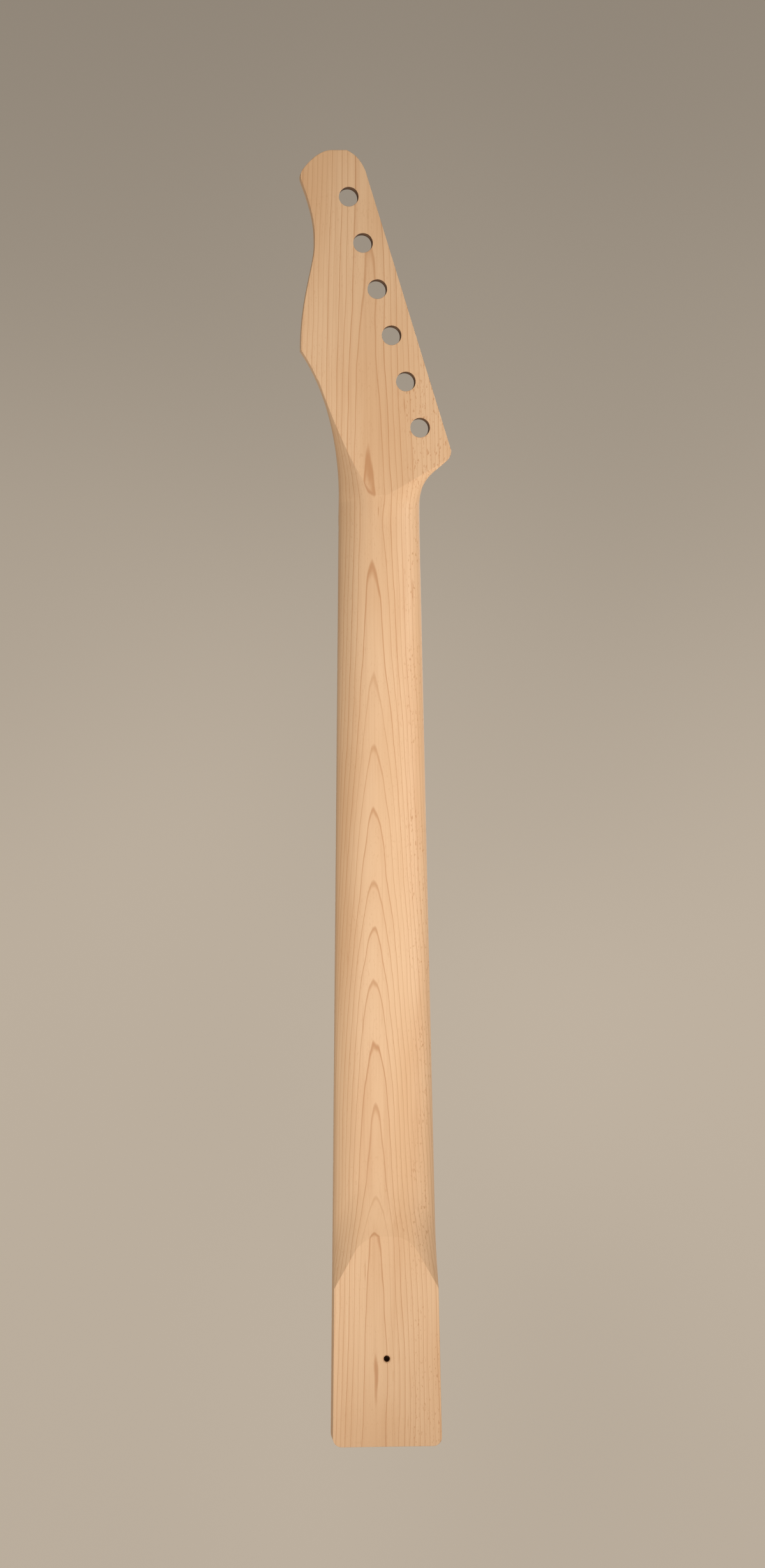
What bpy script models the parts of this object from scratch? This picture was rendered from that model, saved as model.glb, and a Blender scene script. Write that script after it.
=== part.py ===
# Electric guitar neck: maple neck, fingerboard, nut, frets, position dots and a two-way truss rod.
# It stands upright, headstock at the top. +Z runs along the neck, the back faces -Y, the strings
# side faces +Y and the bass side is at +X. The origin lies on the heel's flat back face.

import math

import bmesh
import bpy
import numpy as np
from mathutils import Matrix, Vector
from mathutils.geometry import interpolate_bezier

MM = 0.001

# Strings and frets
SCALE_LENGTH = 647.7 * MM
FRET_COUNT = 21
LAST_FRET_TO_END = 13.2 * MM
STRING_SPREAD = 35.0 * MM
STRING_COUNT = 6

# Neck widths and thicknesses, the board included
NUT_WIDTH = 41.3 * MM
HEEL_WIDTH = 56.0 * MM
HEEL_THICKNESS = 25.4 * MM
SHAFT_THICKNESS_AT_NUT = 20.8 * MM
SHAFT_THICKNESS_AT_HEEL = 22.8 * MM
SIDE_FLAT = 1.5 * MM
SPINE_WIDTH = 6.0 * MM
ROUNDNESS = 2.2

# Heel: heights are above its lower end
SEAT_FROM_END = 25.0 * MM
HEEL_CORNER = 4.6 * MM
HEEL_SIDE_HEIGHT = 81.0 * MM
HEEL_SHOULDER_HEIGHT = 101.0 * MM
HEEL_SHOULDER_WIDTH = 30.6 * MM
HEEL_FLAT_HEIGHT = 107.5 * MM
HEEL_SWEEP = 32.0 * MM
INDEX_HOLE_HEIGHT = 45.0 * MM
INDEX_HOLE_DIAMETER = 3.2 * MM
INDEX_HOLE_DEPTH = 7.0 * MM
INDEX_HOLE_CHAMFER = 0.6 * MM

# Headstock
HEAD_FACE_DROP = 7.8 * MM
HEAD_THICKNESS = 14.2 * MM
HEAD_SWEEP = 18.0 * MM
SCOOP_RADIUS = 20.0 * MM
TUNER_COUNT = 6
TUNER_HOLE_DIAMETER = 10.0 * MM

# Fingerboard
BOARD_THICKNESS = 6.0 * MM
BOARD_RADIUS = 304.8 * MM
BOARD_LIP = 0.4 * MM
LEDGE = 4.0 * MM
GLUE_LINE = 0.05 * MM
FRET_SLOT_WIDTH = 0.6 * MM
FRET_SLOT_DEPTH = 2.0 * MM

# Frets
FRET_WIDTH = 2.4 * MM
FRET_HEIGHT = 1.1 * MM
FRET_TANG_DEPTH = 1.6 * MM
FRET_END_SLOPE = math.radians(35)
FRET_END_INSET = 0.15 * MM

# Nut
NUT_THICKNESS = 3.2 * MM
NUT_SLOT_DEPTH = 3.2 * MM
NUT_RISE = 2.0 * MM
NUT_BACK_FALL = 0.7 * MM
STRING_NOTCH_DEPTH = 0.9 * MM
BASS_NOTCH_WIDTH = 1.4 * MM
TREBLE_NOTCH_WIDTH = 0.6 * MM

# Position dots
DOT_FRETS = (3, 5, 7, 9, 12, 15, 17, 19, 21)
DOUBLE_DOT_FRET = 12
DOT_DIAMETER = 6.0 * MM
DOT_THICKNESS = 1.5 * MM
DOUBLE_DOT_SPREAD = 22.0 * MM
SIDE_DOT_DIAMETER = 2.0 * MM
SIDE_DOT_LENGTH = 2.5 * MM
DOUBLE_SIDE_DOT_SPREAD = 7.0 * MM
DOT_CLEARANCE = 0.05 * MM

# Truss rod
CHANNEL_DEPTH = 10.0 * MM
CHANNEL_WIDTH = 6.6 * MM
CHANNEL_FROM_END = 12.0 * MM
ROD_DIAMETER = 4.6 * MM
ROD_HOLE_CLEARANCE = 0.15 * MM
ROD_FIT = 0.2 * MM
BAR_THICKNESS = 2.8 * MM
BLOCK_LENGTH = 14.0 * MM
ADJUSTER_DIAMETER = 7.6 * MM
ADJUSTER_LENGTH = 14.0 * MM
ADJUSTER_BORE_DEPTH = 5.0 * MM
HEX_SOCKET_SIZE = 4.0 * MM
HEX_SOCKET_DEPTH = 7.5 * MM
ACCESS_WIDTH = 8.4 * MM
ACCESS_PAST_SCOOP = 8.6 * MM
ROD_FLOOR_CLEARANCE = 0.3 * MM
ADJUSTER_PAST_LEDGE = 0.9 * MM

SIDE_STEPS = 10
ROUND_STEPS = 32
BOARD_STEPS = 9
FRET_STEPS = 6
FRET_SLOT_STEPS = 4
SMOOTH_ANGLE = math.radians(35)

# Levels and heights that follow from the sizes above
HEEL_END = -SEAT_FROM_END
CROWN = HEEL_THICKNESS
BOARD_PLANE = HEEL_THICKNESS - BOARD_THICKNESS
HEAD_FACE = HEEL_THICKNESS - HEAD_FACE_DROP
HEAD_BACK = HEAD_FACE - HEAD_THICKNESS
CHANNEL_FLOOR = BOARD_PLANE - CHANNEL_DEPTH
ROD_AXIS = CHANNEL_FLOOR + ROD_FLOOR_CLEARANCE + ADJUSTER_DIAMETER / 2


def fret_distance(number):
    """Distance of a fret from the nut's front edge."""
    return SCALE_LENGTH * (1 - 2 ** (-number / 12))


NUT_Z = HEEL_END + fret_distance(FRET_COUNT) + LAST_FRET_TO_END
LEDGE_Z = NUT_Z + NUT_THICKNESS + LEDGE
SCOOP_FOOT_Z = LEDGE_Z + math.sqrt(SCOOP_RADIUS**2 - (SCOOP_RADIUS - HEAD_FACE_DROP) ** 2)


# Outlines are chains of cubic curves, in mm from the centre line and above the nut's front edge.
# A chain is its start, then two handles and an end for each curve.
TREBLE, BASS = -1, 1
NUT_HALF = NUT_WIDTH / 2 / MM
TIP_HEIGHT = 194.1
HORN_HEIGHT = 92.1
NOSE_HIGH_HEIGHT = TIP_HEIGHT - 9.8
NOSE_LOW_HEIGHT = NOSE_HIGH_HEIGHT - 6.2
THROAT_HEIGHT = NOSE_LOW_HEIGHT - 31.5
DRILLED_EDGE_FOOT = (36.15, 41.2)
DRILLED_EDGE_TOP = (-5.9, TIP_HEIGHT - 12.8)
FIRST_TUNER = Vector((20.5, 52.3))
LAST_TUNER = Vector((-15.2, TIP_HEIGHT - 23.8))
HEAD_FLAT_HEIGHT = 17.9
FLAT_MERGE_HEIGHT = 77.5

HEAD_OUTLINE = {
    TREBLE: (
        (NUT_HALF, 0.0),
        # straight on from the shaft, then the long sweep out to the horn
        (NUT_HALF, 0.0), (NUT_HALF, 14.1), (NUT_HALF, 14.1),
        (NUT_HALF, 20.5), (19.4, 61.4), (40.1, HORN_HEIGHT),
        # bulge and throat
        (40.3, HORN_HEIGHT + 26.3), (32.7, THROAT_HEIGHT - 10.7), (32.7, THROAT_HEIGHT),
        (32.7, THROAT_HEIGHT + 7.9), (32.8, THROAT_HEIGHT + 14.7), (39.1, NOSE_LOW_HEIGHT),
        # round nose and the arc up to the tip
        (40.0, NOSE_LOW_HEIGHT + 2.5), (39.9, NOSE_HIGH_HEIGHT - 1.9), (38.6, NOSE_HIGH_HEIGHT),
        (37.0, NOSE_HIGH_HEIGHT + 2.0), (31.0, TIP_HEIGHT), (23.7, TIP_HEIGHT),
    ),
    BASS: (
        (NUT_HALF, 0.0),
        (NUT_HALF, 0.0), (NUT_HALF, 13.2), (NUT_HALF, 13.2),
        # sweep out to the rounded lower corner
        (20.5, 26.9), (27.2, 28.8), (34.5, 35.7),
        (35.6, 36.8), (36.8, 39.2), DRILLED_EDGE_FOOT,
        # straight drilled edge, then round to the tip
        DRILLED_EDGE_FOOT, DRILLED_EDGE_TOP, DRILLED_EDGE_TOP,
        (-6.2, TIP_HEIGHT - 11.7), (-8.1, TIP_HEIGHT - 3.7), (-16.1, TIP_HEIGHT),
    ),
}

# Lower edge of the headstock's flat back: a curve on the treble side, a straight line on the bass side
HEAD_FLAT_EDGE = {
    TREBLE: ((2.1, HEAD_FLAT_HEIGHT), (14.9, 27.5), (30.2, 73.8), (31.6, FLAT_MERGE_HEIGHT)),
    BASS: ((3.4, HEAD_FLAT_HEIGHT), (3.4, HEAD_FLAT_HEIGHT), (37.3, 37.5), (37.3, 37.5)),
}


def half_width(z):
    """Half the width of the tapered shaft, without the heel's round corners."""
    share = (z - HEEL_END) / (NUT_Z - HEEL_END)
    return (HEEL_WIDTH + (NUT_WIDTH - HEEL_WIDTH) * share) / 2


# Upper edge of the heel's flat back, the same on both sides, above the heel's end in mm
HEEL_FLAT_EDGE = (
    (half_width(HEEL_END + HEEL_SIDE_HEIGHT) / MM, HEEL_SIDE_HEIGHT / MM),
    (half_width(HEEL_END + HEEL_SIDE_HEIGHT) / MM, HEEL_SIDE_HEIGHT / MM),
    (HEEL_SHOULDER_WIDTH / 2 / MM, HEEL_SHOULDER_HEIGHT / MM),
    (HEEL_SHOULDER_WIDTH / 2 / MM, HEEL_SHOULDER_HEIGHT / MM),
    (HEEL_SHOULDER_WIDTH * 0.4 / MM, (HEEL_SHOULDER_HEIGHT * 0.35 + HEEL_FLAT_HEIGHT * 0.65) / MM),
    (HEEL_SHOULDER_WIDTH * 0.25 / MM, HEEL_FLAT_HEIGHT / MM),
    (SPINE_WIDTH / 2 / MM, HEEL_FLAT_HEIGHT / MM),
)


def sampled(chain, base):
    """Points along a chain of cubic curves as two arrays: reach from the centre line, and height."""
    points = []
    for first in range(0, len(chain) - 1, 3):
        knots = [Vector((x, y, 0)) for x, y in chain[first : first + 4]]
        points += interpolate_bezier(*knots, 49)[:-1]
    points.append(Vector((*chain[-1], 0)))
    reach = np.array([point.x for point in points]) * MM
    height = np.array([point.y for point in points]) * MM + base
    return reach, height


OUTLINES = {side: sampled(chain, NUT_Z) for side, chain in HEAD_OUTLINE.items()}
HEAD_FLATS = {side: sampled(chain, NUT_Z) for side, chain in HEAD_FLAT_EDGE.items()}
HEEL_FLAT = sampled(HEEL_FLAT_EDGE, HEEL_END)
HEAD_FLAT_Z = NUT_Z + HEAD_FLAT_HEIGHT * MM
HEEL_FLAT_Z = HEEL_END + HEEL_FLAT_HEIGHT
TIP_Z = NUT_Z + TIP_HEIGHT * MM


def edge_reach(side, z):
    """Distance of the neck's side from the centre line, at one height."""
    if z > NUT_Z:
        reach, height = OUTLINES[side]
        return float(np.interp(z, height, reach))
    below = max(0.0, HEEL_CORNER - (z - HEEL_END))
    return half_width(z) - HEEL_CORNER + math.sqrt(HEEL_CORNER**2 - below**2)


def flat_reach(side, z):
    """Distance from the centre line to the edge of the flat back, or of the spine along the shaft."""
    edge = edge_reach(side, z)
    if z <= HEEL_END + HEEL_SIDE_HEIGHT or z >= NUT_Z + FLAT_MERGE_HEIGHT * MM:
        return edge
    if z < HEAD_FLAT_Z:
        reach, height = HEEL_FLAT
    else:
        reach, height = HEAD_FLATS[side]
    return min(edge, float(np.interp(z, height, reach)))


def scoop_level(z):
    """Level of the concave fall from the board's end to the headstock's face."""
    across = max(0.0, SCOOP_FOOT_Z - z)
    return HEAD_FACE + SCOOP_RADIUS - math.sqrt(max(0.0, SCOOP_RADIUS**2 - across**2))


def scoop_z(level):
    """Height at which the scoop has fallen to a level."""
    return SCOOP_FOOT_Z - math.sqrt(SCOOP_RADIUS**2 - (SCOOP_RADIUS - level + HEAD_FACE) ** 2)


BOARD_END_Z = scoop_z(BOARD_PLANE + GLUE_LINE + BOARD_LIP)


def front_level(z):
    """Level of the neck's front: under the board, down the scoop, then the headstock's face."""
    return BOARD_PLANE if z <= BOARD_END_Z else min(BOARD_PLANE, scoop_level(z))


def shaft_back(z):
    """Level of the middle of the shaft's back, which thins towards the nut."""
    share = min(1.0, max(0.0, (z - HEEL_FLAT_Z) / (NUT_Z - HEEL_FLAT_Z)))
    thickness = SHAFT_THICKNESS_AT_HEEL + (SHAFT_THICKNESS_AT_NUT - SHAFT_THICKNESS_AT_HEEL) * share
    return HEEL_THICKNESS - thickness


def ease(share):
    return math.sin(math.pi / 2 * min(1.0, max(0.0, share)))


def back_level(side, reach, z):
    """Level of the neck's back: the rounded shaft, eased into the heel's and the headstock's flats."""
    if z < (HEEL_END + NUT_Z) / 2:
        flat = 0.0
        flat_edge = float(np.interp(-reach, -HEEL_FLAT[0], HEEL_FLAT[1]))
        rounded = ease((z - flat_edge) / HEEL_SWEEP)
    else:
        flat = HEAD_BACK
        flat_edge = float(np.interp(reach, *HEAD_FLATS[side]))
        rounded = ease((flat_edge - z) / HEAD_SWEEP)
    if rounded == 0.0:
        return flat
    share = min(1.0, reach / edge_reach(side, z))
    side_foot = front_level(z) - SIDE_FLAT
    curve = (1 - share**ROUNDNESS) ** (1 / ROUNDNESS)
    return flat + (side_foot - (side_foot - shaft_back(z)) * curve - flat) * rounded


def neck_section(z):
    """Outline of the neck at one height, from the treble side round the back to the bass side."""
    sides = {}
    for side in (TREBLE, BASS):
        edge = edge_reach(side, z)
        flat = flat_reach(side, z)
        points = [Vector((side * edge, front_level(z), z))]
        for step in range(SIDE_STEPS + 1):
            share = math.cos(math.pi / 2 * step / SIDE_STEPS)
            reach = flat + (edge - flat) * share
            points.append(Vector((side * reach, back_level(side, reach, z), z)))
        sides[side] = points
    centre = (sides[TREBLE][-1].x + sides[BASS][-1].x) / 2
    middle = Vector((centre, back_level(BASS if centre > 0 else TREBLE, abs(centre), z), z))
    if z > HEAD_FLAT_Z:
        middle.y = HEAD_BACK
    return sides[TREBLE] + [middle] + sides[BASS][::-1]


def spread(low, high, count, shape=lambda share: share):
    """Heights between two, the first left out."""
    return [low + (high - low) * shape(step / count) for step in range(1, count + 1)]


def slow_start(share):
    return 1 - math.cos(math.pi / 2 * share)


def slow_end(share):
    return math.sin(math.pi / 2 * share)


def neck_heights():
    """Heights of the neck's sections: close where the shape turns, far apart where it is straight."""
    heights = [HEEL_END]
    heights += spread(HEEL_END, HEEL_END + HEEL_CORNER, 5, slow_start)
    heights += spread(heights[-1], HEEL_END + HEEL_SIDE_HEIGHT, 1)
    heights += spread(heights[-1], HEEL_END + HEEL_SHOULDER_HEIGHT, 7)
    heights += spread(heights[-1], HEEL_FLAT_Z, 6, slow_end)
    heights += spread(heights[-1], HEEL_FLAT_Z + HEEL_SWEEP, 8)
    heights += spread(heights[-1], NUT_Z, 5)
    heights += spread(heights[-1], BOARD_END_Z, 5)
    heights += spread(heights[-1], HEAD_FLAT_Z, 2)
    heights += spread(heights[-1], SCOOP_FOOT_Z, 4)
    heights += spread(heights[-1], NUT_Z + DRILLED_EDGE_FOOT[1] * MM, 10)
    heights += spread(heights[-1], NUT_Z + FLAT_MERGE_HEIGHT * MM, 9)
    heights += spread(heights[-1], NUT_Z + HORN_HEIGHT * MM, 4)
    heights += spread(heights[-1], NUT_Z + THROAT_HEIGHT * MM, 9)
    heights += spread(heights[-1], NUT_Z + NOSE_LOW_HEIGHT * MM, 6)
    heights += spread(heights[-1], NUT_Z + NOSE_HIGH_HEIGHT * MM, 5)
    heights += spread(heights[-1], TIP_Z, 8, slow_end)
    return heights


def new_collection(name):
    collection = bpy.data.collections.new(name)
    bpy.context.scene.collection.children.link(collection)
    return collection


def clear_scene():
    for item in list(bpy.data.objects):
        bpy.data.objects.remove(item, do_unlink=True)
    for collection in list(bpy.data.collections):
        bpy.data.collections.remove(collection)


def material(name, colour, roughness, metallic=0.0):
    made = bpy.data.materials.new(name)
    made.use_nodes = True
    shader = made.node_tree.nodes["Principled BSDF"]
    shader.inputs["Base Color"].default_value = (*colour, 1.0)
    shader.inputs["Roughness"].default_value = roughness
    shader.inputs["Metallic"].default_value = metallic
    return made


def solid(name, built, collection, finish=None):
    """Object of a bmesh, with smooth shading where its faces meet at a shallow angle."""
    bmesh.ops.recalc_face_normals(built, faces=built.faces)
    mesh = bpy.data.meshes.new(name)
    built.to_mesh(mesh)
    built.free()
    mesh.shade_smooth()
    mesh.set_sharp_from_angle(angle=SMOOTH_ANGLE)
    made = bpy.data.objects.new(name, mesh)
    collection.objects.link(made)
    if finish:
        mesh.materials.append(finish)
    else:
        made.hide_render = True
        made.display_type = "WIRE"
    return made


def add_loft(built, sections):
    """Skin between closed sections of equal counts, capped at both ends."""
    rings = [[built.verts.new(point) for point in section] for section in sections]
    for lower, upper in zip(rings, rings[1:]):
        for here in range(len(lower)):
            there = (here + 1) % len(lower)
            built.faces.new((lower[here], lower[there], upper[there], upper[here]))
    built.faces.new(rings[0][::-1])
    built.faces.new(rings[-1])


def loft(name, sections, collection, finish=None):
    built = bmesh.new()
    add_loft(built, sections)
    bmesh.ops.remove_doubles(built, verts=built.verts, dist=0.001 * MM)
    return solid(name, built, collection, finish)


def cylinders(name, radius, length, places, collection, finish=None, steps=ROUND_STEPS):
    """Round rods along the Z axis of each place, from the place towards its +Z."""
    built = bmesh.new()
    for place in places:
        bmesh.ops.create_cone(
            built, cap_ends=True, segments=steps, radius1=radius, radius2=radius, depth=length,
            matrix=place @ Matrix.Translation((0, 0, length / 2)),
        )
    return solid(name, built, collection, finish)


def box(name, low, high, collection, finish=None):
    built = bmesh.new()
    size = Vector(high) - Vector(low)
    middle = (Vector(high) + Vector(low)) / 2
    bmesh.ops.create_cube(built, size=1, matrix=Matrix.Translation(middle) @ Matrix.Diagonal((*size, 1)))
    return solid(name, built, collection, finish)


def turned(name, profile, collection, finish=None, steps=ROUND_STEPS):
    """Solid of revolution about Z: the profile is (radius, height) pairs from the top down."""
    mesh = bpy.data.meshes.new(name)
    edges = [(step, step + 1) for step in range(len(profile) - 1)]
    mesh.from_pydata([(radius, 0, height) for radius, height in profile], edges, [])
    made = bpy.data.objects.new(name, mesh)
    collection.objects.link(made)
    screw = made.modifiers.new("turn", "SCREW")
    screw.steps = steps
    screw.render_steps = steps
    screw.use_merge_vertices = True
    screw.merge_threshold = 0.001 * MM
    screw.use_smooth_shade = True
    if finish:
        mesh.materials.append(finish)
    else:
        made.hide_render = True
        made.display_type = "WIRE"
    return made


def long_slot(name, width, low, high, floor, ceiling, collection):
    """Routed slot along Z with round ends, open towards +Y: a flat outline, extruded and made a mesh."""
    radius = width / 2
    points = []
    for middle, start in ((high - radius, 0.0), (low + radius, math.pi)):
        for step in range(9):
            angle = start + math.pi * step / 8
            points.append((radius * math.cos(angle), middle + radius * math.sin(angle)))
    curve = bpy.data.curves.new(name, "CURVE")
    curve.dimensions = "2D"
    curve.fill_mode = "BOTH"
    curve.extrude = (ceiling - floor) / 2
    spline = curve.splines.new("POLY")
    spline.points.add(len(points) - 1)
    for place, (x, z) in zip(spline.points, points):
        place.co = (x, z, 0, 1)
    spline.use_cyclic_u = True
    drawn = bpy.data.objects.new(name + "_outline", curve)
    collection.objects.link(drawn)
    drawn.rotation_euler = (math.pi / 2, 0, 0)
    drawn.location = (0, (ceiling + floor) / 2, 0)
    bpy.context.view_layer.update()
    mesh = bpy.data.meshes.new_from_object(drawn.evaluated_get(bpy.context.evaluated_depsgraph_get()))
    mesh.transform(drawn.matrix_world)
    bpy.data.objects.remove(drawn, do_unlink=True)
    built = bmesh.new()
    built.from_mesh(mesh)
    bmesh.ops.remove_doubles(built, verts=built.verts, dist=0.001 * MM)
    return solid(name, built, collection)


def cut(target, *cutters):
    for cutter in cutters:
        boolean = target.modifiers.new(cutter.name, "BOOLEAN")
        boolean.operation = "DIFFERENCE"
        boolean.solver = "EXACT"
        boolean.object = cutter


def tuner_places():
    """Tuner holes in a line beside the drilled edge, each place pointing into the headstock's back."""
    for number in range(TUNER_COUNT):
        spot = FIRST_TUNER.lerp(LAST_TUNER, number / (TUNER_COUNT - 1)) * MM
        yield Matrix.Translation((spot.x, HEAD_BACK, NUT_Z + spot.y)) @ Matrix.Rotation(-math.pi / 2, 4, "X")


def make_neck(parts, cutters, finish):
    neck = loft("neck", [neck_section(z) for z in neck_heights()], parts, finish)
    margin = 2 * MM
    back = Matrix.Translation((0, 0, -margin))
    tuner_holes = cylinders(
        "tuner_hole_cutter", TUNER_HOLE_DIAMETER / 2, HEAD_THICKNESS + 2 * margin,
        [place @ back for place in tuner_places()], cutters,
    )
    radius = INDEX_HOLE_DIAMETER / 2
    mouth = radius + INDEX_HOLE_CHAMFER
    index_hole = turned(
        "index_hole_cutter",
        ((0, margin), (mouth + margin, margin), (radius, -INDEX_HOLE_CHAMFER), (radius, -INDEX_HOLE_DEPTH),
         (0, -INDEX_HOLE_DEPTH - radius / 2)),
        cutters, steps=20,
    )
    index_hole.location = (0, 0, HEEL_END + INDEX_HOLE_HEIGHT)
    index_hole.rotation_euler = (math.pi / 2, 0, 0)
    channel = long_slot(
        "rod_channel_cutter", CHANNEL_WIDTH, HEEL_END + CHANNEL_FROM_END, ADJUSTER_LOW_Z,
        CHANNEL_FLOOR, BOARD_PLANE + margin, cutters,
    )
    access = long_slot(
        "rod_access_cutter", ACCESS_WIDTH, ADJUSTER_LOW_Z - ACCESS_WIDTH / 2, ACCESS_HIGH_Z,
        CHANNEL_FLOOR, BOARD_PLANE + margin, cutters,
    )
    cut(neck, tuner_holes, index_hole, channel, access)


def board_level(reach):
    """Level of the board's crowned face, at one distance from the centre line."""
    return CROWN - BOARD_RADIUS + math.sqrt(BOARD_RADIUS**2 - reach**2)


def board_section(z):
    sides = (-edge_reach(TREBLE, z), edge_reach(BASS, z))
    floor = BOARD_PLANE + GLUE_LINE
    points = [Vector((sides[0], floor, z)), Vector((sides[1], floor, z))]
    for step in range(BOARD_STEPS + 1):
        x = sides[1] + (sides[0] - sides[1]) * step / BOARD_STEPS
        level = min(board_level(x), scoop_level(z)) if z > LEDGE_Z else board_level(x)
        points.append(Vector((x, level, z)))
    return points


def board_heights():
    heights = [HEEL_END]
    heights += spread(HEEL_END, HEEL_END + HEEL_CORNER, 5, slow_start)
    heights += spread(heights[-1], NUT_Z, 8)
    heights += spread(heights[-1], LEDGE_Z, 1)
    heights += spread(heights[-1], BOARD_END_Z, 6)
    return heights


def crowned_bar(built, z, profile, ends, steps):
    """Bar across the board that follows its crown: the profile is (along, above the board) pairs."""
    sections = []
    for step in range(steps + 1):
        share = 2 * step / steps - 1
        section = []
        for along, above in profile:
            reach = share * ends(above)
            section.append(Vector((reach, board_level(reach) + above, z + along)))
        sections.append(section)
    add_loft(built, sections)


def fret_z(number):
    return NUT_Z - fret_distance(number)


def make_fingerboard(parts, cutters, finish):
    board = loft("fingerboard", [board_section(z) for z in board_heights()], parts, finish)
    margin = 1 * MM
    built = bmesh.new()
    half = FRET_SLOT_WIDTH / 2
    slot = ((-half, margin), (half, margin), (half, -FRET_SLOT_DEPTH), (-half, -FRET_SLOT_DEPTH))
    for number in range(1, FRET_COUNT + 1):
        z = fret_z(number)
        crowned_bar(built, z, slot, lambda above: half_width(z) + margin, FRET_SLOT_STEPS)
    fret_slots = solid("fret_slot_cutter", built, cutters)
    nut_slot = box(
        "nut_slot_cutter",
        (-NUT_WIDTH, CROWN - NUT_SLOT_DEPTH, NUT_Z),
        (NUT_WIDTH, CROWN + margin, NUT_Z + NUT_THICKNESS + 2 * GLUE_LINE),
        cutters,
    )
    notch = long_slot(
        "board_notch_cutter", ACCESS_WIDTH, LEDGE_Z + LEDGE * 0.35, ACCESS_HIGH_Z,
        BOARD_PLANE - margin, CROWN + margin, cutters,
    )
    back = Matrix.Translation((0, 0, -DOT_CLEARANCE))
    dots = cylinders(
        "dot_pocket_cutter", DOT_DIAMETER / 2 + DOT_CLEARANCE, DOT_THICKNESS + margin,
        [place @ back for _, place in dot_places()], cutters, steps=24,
    )
    side_dots = cylinders(
        "side_dot_pocket_cutter", SIDE_DOT_DIAMETER / 2 + DOT_CLEARANCE, SIDE_DOT_LENGTH + margin,
        [place @ back for _, place in side_dot_places()], cutters, steps=12,
    )
    cut(board, fret_slots, nut_slot, notch, dots, side_dots)


def dot_fret_z(number):
    """Height midway between a fret and the one before it."""
    return (fret_z(number) + fret_z(number - 1)) / 2


def dot_places():
    """Name and place of each face dot: the place is its inner end, with +Z out of the board."""
    for number in DOT_FRETS:
        if number > FRET_COUNT:
            continue
        spots = {"": 0.0}
        if number == DOUBLE_DOT_FRET:
            spots = {"_treble": -DOUBLE_DOT_SPREAD / 2, "_bass": DOUBLE_DOT_SPREAD / 2}
        for suffix, x in spots.items():
            tilt = math.asin(x / BOARD_RADIUS)
            place = (
                Matrix.Translation((0, CROWN - BOARD_RADIUS, dot_fret_z(number)))
                @ Matrix.Rotation(-tilt, 4, "Z")
                @ Matrix.Translation((0, BOARD_RADIUS - DOT_THICKNESS - DOT_CLEARANCE / 2, 0))
                @ Matrix.Rotation(-math.pi / 2, 4, "X")
            )
            yield f"dot_{number:02d}{suffix}", place


def side_dot_places():
    """Name and place of each side dot: the place is its inner end, with +Z out of the bass side."""
    for number in DOT_FRETS:
        if number > FRET_COUNT:
            continue
        spots = {"": 0.0}
        if number == DOUBLE_DOT_FRET:
            spots = {"_lower": -DOUBLE_SIDE_DOT_SPREAD / 2, "_upper": DOUBLE_SIDE_DOT_SPREAD / 2}
        for suffix, shift in spots.items():
            z = dot_fret_z(number) + shift
            x = half_width(z) - SIDE_DOT_LENGTH - DOT_CLEARANCE / 2
            level = (BOARD_PLANE + board_level(half_width(z))) / 2
            place = Matrix.Translation((x, level, z)) @ Matrix.Rotation(math.pi / 2, 4, "Y")
            yield f"side_dot_{number:02d}{suffix}", place


def make_dots(parts, finish):
    for name, place in dot_places():
        dot = cylinders(name, DOT_DIAMETER / 2, DOT_THICKNESS, [Matrix()], parts, finish, steps=24)
        dot.matrix_world = place
    for name, place in side_dot_places():
        dot = cylinders(name, SIDE_DOT_DIAMETER / 2, SIDE_DOT_LENGTH, [Matrix()], parts, finish, steps=12)
        dot.matrix_world = place


def fret_profile():
    """Fret seen from its end: an elliptical crown over a tang."""
    crown = []
    for step in range(7):
        angle = math.pi * step / 6
        along = FRET_WIDTH / 2 * math.cos(angle)
        crown.append((along, GLUE_LINE + FRET_HEIGHT * math.sin(angle)))
    half = FRET_SLOT_WIDTH / 2 - GLUE_LINE
    tang = ((-half, GLUE_LINE), (-half, -FRET_TANG_DEPTH), (half, -FRET_TANG_DEPTH), (half, GLUE_LINE))
    return crown + list(tang)


def make_frets(parts, finish):
    profile = fret_profile()
    for number in range(1, FRET_COUNT + 1):
        z = fret_z(number)
        half = half_width(z) - FRET_END_INSET

        def ends(above):
            return half - max(0.0, above) * math.tan(FRET_END_SLOPE)

        built = bmesh.new()
        crowned_bar(built, 0.0, profile, ends, FRET_STEPS)
        fret = solid(f"fret_{number:02d}", built, parts, finish)
        fret.location = (0, 0, z)


def make_nut(parts, finish):
    """Nut with a crowned top that falls towards the headstock, notched for each string."""
    half = edge_reach(BASS, NUT_Z)
    floor = CROWN - NUT_SLOT_DEPTH + GLUE_LINE
    sections = []
    for along, fall in ((GLUE_LINE, 0.0), (GLUE_LINE + NUT_THICKNESS, NUT_BACK_FALL)):
        z = NUT_Z + along
        lift = NUT_RISE - fall
        section = [Vector((half, floor, z)), Vector((-half, floor, z)), Vector((-half, board_level(half) + lift, z))]
        for number in range(STRING_COUNT):
            share = number / (STRING_COUNT - 1)
            middle = STRING_SPREAD * (share - 0.5)
            width = TREBLE_NOTCH_WIDTH + (BASS_NOTCH_WIDTH - TREBLE_NOTCH_WIDTH) * share
            for offset, depth in ((-0.5, 0.0), (-0.35, 1.0), (0.35, 1.0), (0.5, 0.0)):
                x = middle + width * offset
                section.append(Vector((x, board_level(x) + lift - STRING_NOTCH_DEPTH * depth, z)))
        section.append(Vector((half, board_level(half) + lift, z)))
        sections.append(section)
    loft("nut", sections, parts, finish)


ADJUSTER_HIGH_Z = LEDGE_Z + ADJUSTER_PAST_LEDGE
ADJUSTER_LOW_Z = ADJUSTER_HIGH_Z - ADJUSTER_LENGTH
ACCESS_HIGH_Z = SCOOP_FOOT_Z + ACCESS_PAST_SCOOP


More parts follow.
